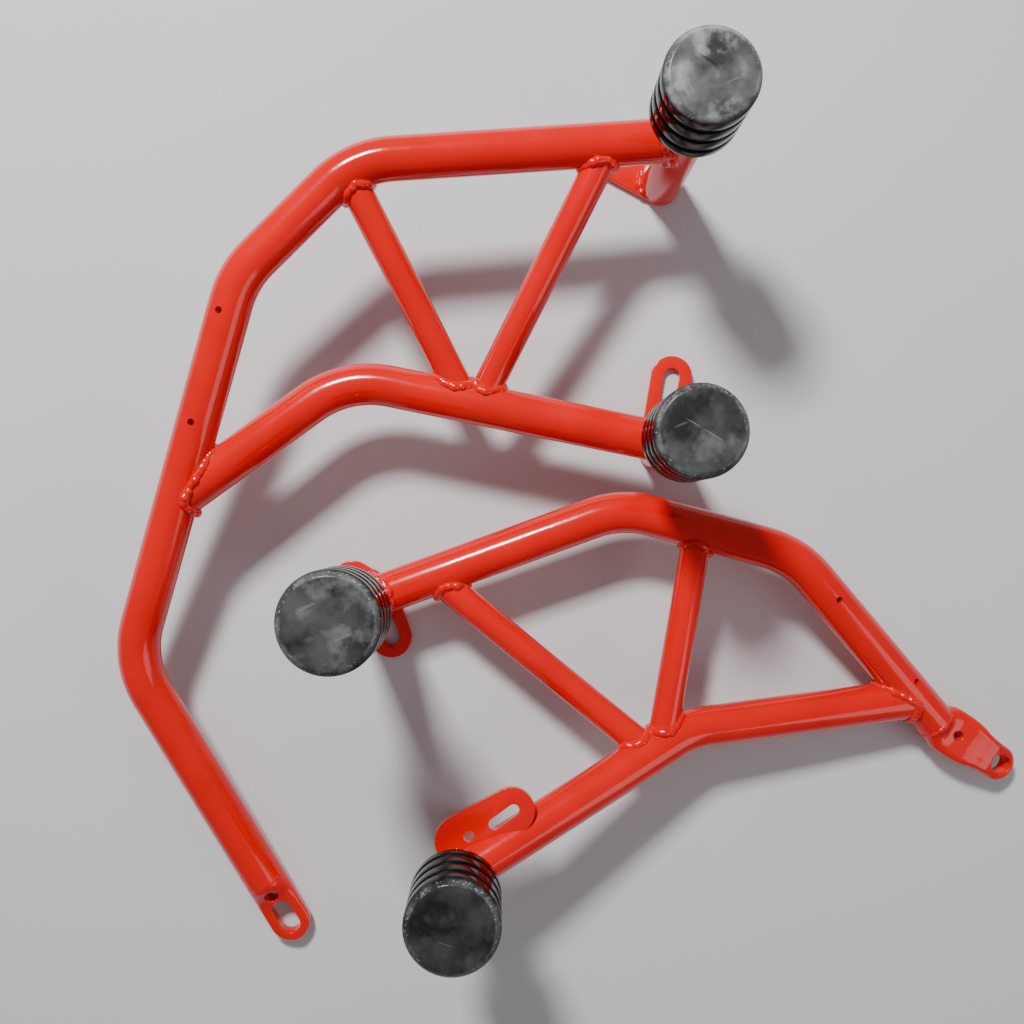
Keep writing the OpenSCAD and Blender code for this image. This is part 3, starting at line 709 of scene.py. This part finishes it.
def puddle_tree():
    """Lays overlapping puddles along the seam lines."""
    tree = bpy.data.node_groups.new("weld_puddles", "GeometryNodeTree")
    for name, kind in (
            ("Seams", "NodeSocketGeometry"), ("Pitch", "NodeSocketFloat"),
            ("Puddle radius", "NodeSocketFloat"), ("Wander", "NodeSocketFloat"),
            ("Seed", "NodeSocketInt"), ("Coat", "NodeSocketMaterial")):
        tree.interface.new_socket(name, in_out="INPUT", socket_type=kind)
    tree.interface.new_socket("Beads", in_out="OUTPUT", socket_type="NodeSocketGeometry")
    nodes = tree.nodes
    links = tree.links
    given = nodes.new("NodeGroupInput")
    line = nodes.new("GeometryNodeMeshToCurve")
    links.new(given.outputs["Seams"], line.inputs["Mesh"])
    even = nodes.new("GeometryNodeResampleCurve")
    even.mode = "LENGTH"
    links.new(line.outputs["Curve"], even.inputs["Curve"])
    links.new(given.outputs["Pitch"], even.inputs["Length"])
    drift = nodes.new("FunctionNodeRandomValue")
    drift.data_type = "FLOAT_VECTOR"
    drift.inputs[0].default_value = (-1, -1, -1)
    drift.inputs[1].default_value = (1, 1, 1)
    links.new(given.outputs["Seed"], drift.inputs["Seed"])
    push = nodes.new("ShaderNodeVectorMath")
    push.operation = "SCALE"
    links.new(drift.outputs[0], push.inputs[0])
    links.new(given.outputs["Wander"], push.inputs["Scale"])
    moved = nodes.new("GeometryNodeSetPosition")
    links.new(even.outputs["Curve"], moved.inputs["Geometry"])
    links.new(push.outputs["Vector"], moved.inputs["Offset"])
    # sockets 2, 3 and out 1 are the plain numbers of a random value
    size = nodes.new("FunctionNodeRandomValue")
    size.data_type = "FLOAT"
    size.inputs[2].default_value = PUDDLE_SIZES[0]
    size.inputs[3].default_value = PUDDLE_SIZES[1]
    links.new(given.outputs["Seed"], size.inputs["Seed"])
    grown = nodes.new("ShaderNodeMath")
    grown.operation = "MULTIPLY"
    links.new(size.outputs[1], grown.inputs[0])
    links.new(given.outputs["Puddle radius"], grown.inputs[1])
    ball = nodes.new("GeometryNodeMeshIcoSphere")
    ball.inputs["Radius"].default_value = 1
    ball.inputs["Subdivisions"].default_value = 3
    laid = nodes.new("GeometryNodeInstanceOnPoints")
    links.new(moved.outputs["Geometry"], laid.inputs["Points"])
    links.new(ball.outputs["Mesh"], laid.inputs["Instance"])
    links.new(grown.outputs["Value"], laid.inputs["Scale"])
    real = nodes.new("GeometryNodeRealizeInstances")
    links.new(laid.outputs["Instances"], real.inputs["Geometry"])
    coated = nodes.new("GeometryNodeSetMaterial")
    links.new(real.outputs["Geometry"], coated.inputs["Geometry"])
    links.new(given.outputs["Coat"], coated.inputs["Material"])
    given_back = nodes.new("NodeGroupOutput")
    links.new(coated.outputs["Geometry"], given_back.inputs["Beads"])
    return tree


PUDDLES = puddle_tree()


def set_input(modifier, name, value):
    """Sets the input of that name on a Geometry Nodes modifier."""
    for item in modifier.node_group.interface.items_tree:
        if item.item_type == "SOCKET" and item.in_out == "INPUT" and item.name == name:
            modifier[item.identifier] = value


def puddled(runs, sizes, seed):
    """Rows of loose puddles along the given runs, by pitch, radius and wander, as a mesh."""
    mesh = bmesh.new()
    for run in runs:
        last = None
        for p in run:
            vert = mesh.verts.new(p)
            if last:
                mesh.edges.new((last, vert))
            last = vert
    piece = piece_from("puddles", mesh)
    laid = piece.modifiers.new("laid", "NODES")
    laid.node_group = PUDDLES
    for name, size in zip(("Pitch", "Puddle radius", "Wander"), sizes):
        set_input(laid, name, size * MM)
    set_input(laid, "Seed", seed)
    set_input(laid, "Coat", RED_WELD)
    baked(piece, ROLLED_CREASE)
    data = piece.data
    bpy.data.objects.remove(piece)
    return data


def weld(node, runs, fine_runs, seed):
    """Fuses the puddles of all the seams of one bar into smooth beads, big ones and fine ones."""
    loose = [puddled(runs, BIG_PUDDLES, seed), puddled(fine_runs, FINE_PUDDLES, seed + 1)]
    mesh = bmesh.new()
    for data in loose:
        mesh.from_mesh(data)
        bpy.data.meshes.remove(data)
    piece = piece_from(node + "_visual", mesh, RED_WELD)
    return finished(rolled(piece, BEAD_GRAIN, BEAD_PASSES, RED_WELD), node)


left_runs = []
left_runs += seam([left_upper_post], LEFT_OUTER[0], LEFT_OUTER[1], OUTER_R)
left_runs += seam([left_lower_post], LEFT_INNER[0], LEFT_INNER[1], INNER_R)
left_runs += seam([left_outer], LEFT_INNER[2], LEFT_INNER[1], INNER_R)
left_runs += seam([left_outer], LEFT_FRONT[0], LEFT_FRONT[1], BRACE_R)
left_runs += seam([left_outer], LEFT_REAR[0], LEFT_REAR[1], BRACE_R)
left_runs += seam([left_inner], LEFT_FRONT[1], LEFT_FRONT[0], BRACE_R)
left_runs += seam([left_inner, left_front], LEFT_REAR[1], LEFT_REAR[0], BRACE_R)
left_runs += foot_seam(left_upper_plate, LEFT_AT)
left_runs += foot_seam(left_lower_plate, LEFT_LOW_AT)
left_fine = ring_seam(LEFT_OUTER[4], LEFT_ALONG, OUTER_R - LEFT_RING_INSET)
weld("left_weld_beads", left_runs, left_fine, 3)

right_runs = []
right_runs += seam([right_upper_post], RIGHT_OUTER[0], RIGHT_OUTER[1], OUTER_R)
right_runs += seam([right_lower_post], RIGHT_INNER[0], RIGHT_INNER[1], INNER_R)
right_runs += seam([right_outer], RIGHT_INNER[2], RIGHT_INNER[1], INNER_R)
right_runs += seam([right_outer], RIGHT_FRONT[0], RIGHT_FRONT[1], BRACE_R)
right_runs += seam([right_outer], RIGHT_REAR[0], RIGHT_REAR[1], BRACE_R)
right_runs += seam([right_inner], RIGHT_FRONT[1], RIGHT_FRONT[0], BRACE_R)
right_runs += seam([right_inner, right_front], RIGHT_REAR[1], RIGHT_REAR[0], BRACE_R)
right_runs += foot_seam(right_upper_plate, RIGHT_AT)
right_along = (RIGHT_OUTER[3] - RIGHT_OUTER[2]).normalized()
right_fine = ring_seam(RIGHT_OUTER[3], right_along, OUTER_R - RIGHT_RING_INSET)
weld("right_weld_beads", right_runs, right_fine, 5)


# SLIDERS
# Solid nylon pucks, turned on a lathe, with three grooves and a chamfered face. They take
# the scrape in a fall, and their faces carry fine turning rings, smudges and light scuffs.

SLIDER_SIDES = 128
SLIDER_CREASE = 32
SLIDER_WIDE = 25
SLIDER_TALL = 50
GROOVES_AT = (9.5, 23, 36.5)
SCRATCH_WAVER = 0.001
FACE_FROM = (49.7 * MM, SLIDER_TALL * MM)
RIM_FROM = (46.8 * MM, 48.4 * MM)
BLACK_SIDE = (0.003, 0.003, 0.0032)
PALER_SIDE = (0.006, 0.006, 0.0063)
FACE_DUST = (0.25, 0.25, 0.25)
RIM_DUST = (0.42, 0.42, 0.42)
PALE_SCRATCH = (0.34, 0.34, 0.35)
DARK_SCRATCH = (0.004, 0.004, 0.004)


def groove(z):
    """Lips and rounded floor of a groove, centred on a height."""
    return [
        (25.0, z - 2.6), (24.9, z - 2.2), (24.5, z - 1.8), (23.5, z - 1.3), (23.1, z - 0.8),
        (23.0, z), (23.1, z + 0.8), (23.5, z + 1.3), (24.5, z + 1.8), (24.9, z + 2.2),
        (25.0, z + 2.6)]


def reckoned(tree, operation, *values):
    """A sum on one to three values, each a number or a socket."""
    node = tree.nodes.new("ShaderNodeMath")
    node.operation = operation
    for value, place in zip(values, node.inputs):
        if isinstance(value, float):
            place.default_value = value
        else:
            tree.links.new(value, place)
    return node.outputs["Value"]


def shifted(tree, place, kind, at, turn=0):
    """The place on the object, moved and turned about the upright axis."""
    node = tree.nodes.new("ShaderNodeMapping")
    node.vector_type = kind
    node.inputs["Location"].default_value = at
    node.inputs["Rotation"].default_value = (0, 0, turn)
    tree.links.new(place, node.inputs["Vector"])
    return node.outputs["Vector"]


def axes_of(tree, place):
    """The three parts of a place."""
    node = tree.nodes.new("ShaderNodeSeparateXYZ")
    tree.links.new(place, node.inputs["Vector"])
    return node.outputs


def scratch_mask(tree, place, start, end, width, noise):
    """A thin wavering line on the face between two points, in millimetres from the axis."""
    middle = ((start[0] + end[0]) / 2 * MM, (start[1] + end[1]) / 2 * MM)
    length = math.hypot(end[0] - start[0], end[1] - start[1]) * MM
    angle = math.atan2(end[1] - start[1], end[0] - start[0])
    parts = axes_of(tree, shifted(tree, place, "TEXTURE", (*middle, 0), angle))
    waver = reckoned(tree, "MULTIPLY_ADD", noise, 2 * SCRATCH_WAVER, parts["Y"])
    off_line = reckoned(tree, "ADD", waver, -SCRATCH_WAVER)
    masks = []
    for value, reach in ((off_line, width * MM), (parts["X"], length / 2)):
        away = reckoned(tree, "ABSOLUTE", value)
        masks.append(spread(tree, away, (reach * 0.4, reach), (1, 0)))
    return reckoned(tree, "MULTIPLY", *masks)


def shade(grey, level, blue):
    """A slider's own grey made darker or paler, its blue a touch stronger."""
    return (grey * level, grey * level, grey * blue)


def nylon(name, at, base, grey, smudge, turn, scratches):
    """Turned black nylon: glossy sides, a duller and dustier face, and a rim painted paler all
    round as a highlight on its chamfer, worn in patches.
    """
    material, tree, shader, place = new_finish(name)
    place = shifted(tree, place, "POINT", (-at.x, -at.y, -base * MM))
    height = axes_of(tree, place)["Z"]
    face = spread(tree, height, FACE_FROM)
    # The band of the chamfered rim, which is painted paler as a highlight
    rim = spread(tree, height, RIM_FROM)
    rings = tree.nodes.new("ShaderNodeTexWave")
    rings.wave_type = "RINGS"
    rings.rings_direction = "Z"
    rings.inputs["Scale"].default_value = 420
    rings.inputs["Distortion"].default_value = 0.4
    rings.inputs["Detail"].default_value = 1
    tree.links.new(place, rings.inputs["Vector"])
    moved = shifted(tree, place, "POINT", (0.31 * turn, 0.17 * turn, 0), turn)
    cloud = clouded(tree, moved, 85, 4, 0.5)
    broad = clouded(tree, moved, 42, 4, 0.55)
    grain = clouded(tree, place, 1500, 2)
    specks = clouded(tree, place, 700, 2)
    side = mixed(tree, spread(tree, cloud, (0.4, 0.7)), BLACK_SIDE, PALER_SIDE)
    patch = spread(tree, broad, (0.40, 0.62))
    dull = mixed(tree, patch, shade(grey, 0.30, 0.31), shade(grey, 1.3, 1.33))
    smudged = spread(tree, cloud, (0.52, 0.70), (0, smudge))
    dusty = mixed(tree, smudged, dull, shade(grey, 3.4, 3.45))
    specked = spread(tree, specks, (0.70, 0.76), (0, 0.5 * smudge))
    dusty = mixed(tree, specked, dusty, FACE_DUST)
    for start, end, width, strength in scratches:
        line = scratch_mask(tree, place, start, end, width, cloud)
        faint = spread(tree, line, (0, 1), (0, abs(strength)))
        dusty = mixed(tree, faint, dusty, PALE_SCRATCH if strength > 0 else DARK_SCRATCH)
    # Painted highlight: the rim is painted paler than the sides all round, as light on the chamfer,
    # with patches of wear and specks of dust over it
    worn = spread(tree, cloud, (0.42, 0.62))
    worn_and_lit_rim = mixed(tree, worn, shade(grey, 0.9, 0.93), shade(grey, 3, 3.05))
    worn_and_lit_rim = mixed(tree, spread(tree, specks, (0.60, 0.68), (0, 0.5)), worn_and_lit_rim, RIM_DUST)
    side_and_lit_rim = mixed(tree, rim, side, worn_and_lit_rim)
    colour = mixed(tree, face, side_and_lit_rim, dusty)
    tree.links.new(colour, shader.inputs["Base Color"])
    gloss = spread(tree, cloud, (0.3, 0.7), (0.13, 0.16))
    satin = spread(tree, broad, (0.3, 0.7), (0.30, 0.48))
    # sockets 2, 3 and out 0 are the plain numbers of a mix node
    rough = tree.nodes.new("ShaderNodeMix")
    tree.links.new(face, rough.inputs["Factor"])
    tree.links.new(gloss, rough.inputs[2])
    tree.links.new(satin, rough.inputs[3])
    tree.links.new(rough.outputs[0], shader.inputs["Roughness"])
    fine = bumped(tree, grain, 0.08, 0.0001)
    lines = bumped(tree, rings.outputs["Fac"], 0.05, 0.0001, fine)
    tree.links.new(lines, shader.inputs["Normal"])
    shader.inputs["IOR"].default_value = 1.53
    tree.links.new(spread(tree, face, (0, 1), (0.11, 0.24)), shader.inputs["Specular IOR Level"])
    return material


def slider(node, at, base, material):
    """Puck with a seat for its insert in the foot, three grooves and a chamfered face."""
    profile = [(0, 26), (8, 26), (8, 2), (12, 2), (12, 0), (24.0, 0), (24.7, 0.3), (SLIDER_WIDE, 1)]
    for z in GROOVES_AT:
        profile += groove(z)
    profile += [(SLIDER_WIDE, 46.6), (24.8, 47.2), (22.4, 49.6), (21.8, 49.9), (21.2, SLIDER_TALL),
                (0, SLIDER_TALL)]
    foot = at + Vector((0, 0, base)) * MM
    piece = turned(node + "_visual", profile, foot, material, SLIDER_SIDES, SLIDER_CREASE)
    return finished(piece, node)


# Each scratch: two points on the face, its half width and how pale it is, dark if negative
LEFT_UPPER_MARKS = [((-9, 11), (4, 1), 0.9, -0.6), ((-16, -4), (-11, -14), 0.25, 0.5),
                    ((-14, -2), (-8, -13), 0.2, 0.4), ((5, -6), (14, -2), 0.3, 0.3)]
LEFT_LOWER_MARKS = [((-9, 6), (0, 1), 0.22, 0.6), ((0, 1), (11, -5.5), 0.22, 0.6),
                    ((-15, 1), (-7, 4.5), 0.8, 0.16)]
RIGHT_UPPER_MARKS = [((-14, 6), (-4, 10), 0.8, 0.2), ((3, -8), (12, -4), 0.9, 0.2)]
RIGHT_LOWER_MARKS = [((-8, -6), (2, -9), 0.2, 0.25)]

# Each slider: its CAD node, its place, its grey, how smudged it is, how far its pattern is
# turned, and its scratches
for node, at, base, grey, smudge, turn, marks in (
        ("left_upper_slider", LEFT_AT, LEFT_UPPER_TOP, 0.10, 0.7, 0, LEFT_UPPER_MARKS),
        ("left_lower_slider", LEFT_LOW_AT, LEFT_LOWER_TOP, 0.055, 0.45, 1.4, LEFT_LOWER_MARKS),
        ("right_upper_slider", RIGHT_AT, RIGHT_UPPER_TOP, 0.05, 0.7, 2.7, RIGHT_UPPER_MARKS),
        ("right_lower_slider", RIGHT_LOW_AT, RIGHT_LOWER_TOP, 0.03, 0.35, 4.1, RIGHT_LOWER_MARKS)):
    finish_name = "black_nylon_" + node.replace("_slider", "")
    slider(node, at, base, nylon(finish_name, at, base, grey, smudge, turn, marks))


# INSERTS AND STUDS
# A flanged steel insert sits in the foot of each slider and a plain stud joins it to the
# post. Both are zinc plated and lie hidden inside.

DULL_ZINC = (0.52, 0.53, 0.55)
BRIGHT_ZINC = (0.70, 0.71, 0.73)


def zinc(name):
    """Plated steel with a fine spangle."""
    material, tree, shader, place = new_finish(name)
    spangle = clouded(tree, place, 400, 3)
    tree.links.new(mixed(tree, spangle, DULL_ZINC, BRIGHT_ZINC), shader.inputs["Base Color"])
    tree.links.new(spread(tree, spangle, (0.3, 0.7), (0.28, 0.42)), shader.inputs["Roughness"])
    shader.inputs["Metallic"].default_value = 1
    return material


ZINC = zinc("zinc_steel_plating")
for node in (
        "left_slider_inserts", "left_slider_studs",
        "right_slider_inserts", "right_slider_studs"):
    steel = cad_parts[node]
    steel.data.materials.clear()
    steel.data.materials.append(ZINC)


# FLOOR, LIGHT AND CAMERA
# A plain pale floor, a small soft light from the upper left, a broad and weak one opposite,
# and a camera that looks straight down from 685 mm.

FLOOR_SIZE = 6
FLOOR_GAP = 0.0005
FLOOR_GREY = (0.60, 0.60, 0.61)
PALER_FLOOR = (0.66, 0.66, 0.67)
AIMED_AT = (0, 0, 0.05)
STUDIO_TINT = (0.85, 0.88, 0.92, 1)
CAMERA_AT = Vector((-51.5, 7, 685)) * MM
CAMERA_LENS = 36.914
CAMERA_DOWN = Vector((-14 / 1050, -12 / 1050, -1))


def pale_floor():
    """Smooth matt floor with a trace of cloud in its grey."""
    material, tree, shader, place = new_finish("pale_floor")
    cloud = clouded(tree, place, 3, 3)
    tree.links.new(mixed(tree, cloud, FLOOR_GREY, PALER_FLOOR), shader.inputs["Base Color"])
    shader.inputs["Roughness"].default_value = 0.75
    return material


bpy.context.view_layer.update()
floor_mesh = bmesh.new()
bmesh.ops.create_grid(floor_mesh, x_segments=1, y_segments=1, size=FLOOR_SIZE)
bmesh.ops.translate(floor_mesh, verts=floor_mesh.verts, vec=(0, 0, cad_box[0][2] - FLOOR_GAP))
floor = piece_from("floor", floor_mesh, pale_floor())


def softbox(name, at, size, power):
    """Square soft light aimed at the middle of the bars."""
    data = bpy.data.lights.new(name, "AREA")
    data.shape = "RECTANGLE"
    data.size = size
    data.size_y = size
    data.energy = power
    lamp = bpy.data.objects.new(name, data)
    lamp.location = at
    lamp.rotation_euler = (Vector(AIMED_AT) - Vector(at)).to_track_quat("-Z", "Y").to_euler()
    bpy.context.scene.collection.objects.link(lamp)


softbox("key_light", at=(-0.45, 0.95, 1.3), size=0.24, power=36)
softbox("fill_light", at=(1.2, -0.7, 1.0), size=0.8, power=4)

world = bpy.data.worlds.new("studio")
world.use_nodes = True
backdrop = world.node_tree.nodes["Background"]
backdrop.inputs["Color"].default_value = STUDIO_TINT
backdrop.inputs["Strength"].default_value = 0.30
bpy.context.scene.world = world

eye = bpy.data.cameras.new("camera")
eye.sensor_width = 36
eye.lens = CAMERA_LENS
eye.clip_start = 0.01
camera = bpy.data.objects.new("camera", eye)
z_axis = -CAMERA_DOWN.normalized()
x_axis = (Vector((1, 0, 0)) - z_axis * z_axis.x).normalized()
y_axis = z_axis.cross(x_axis)
turned_to = Matrix((x_axis, y_axis, z_axis)).to_4x4()
camera.matrix_world = Matrix.Translation(CAMERA_AT) @ turned_to
bpy.context.scene.collection.objects.link(camera)
bpy.context.scene.camera = camera
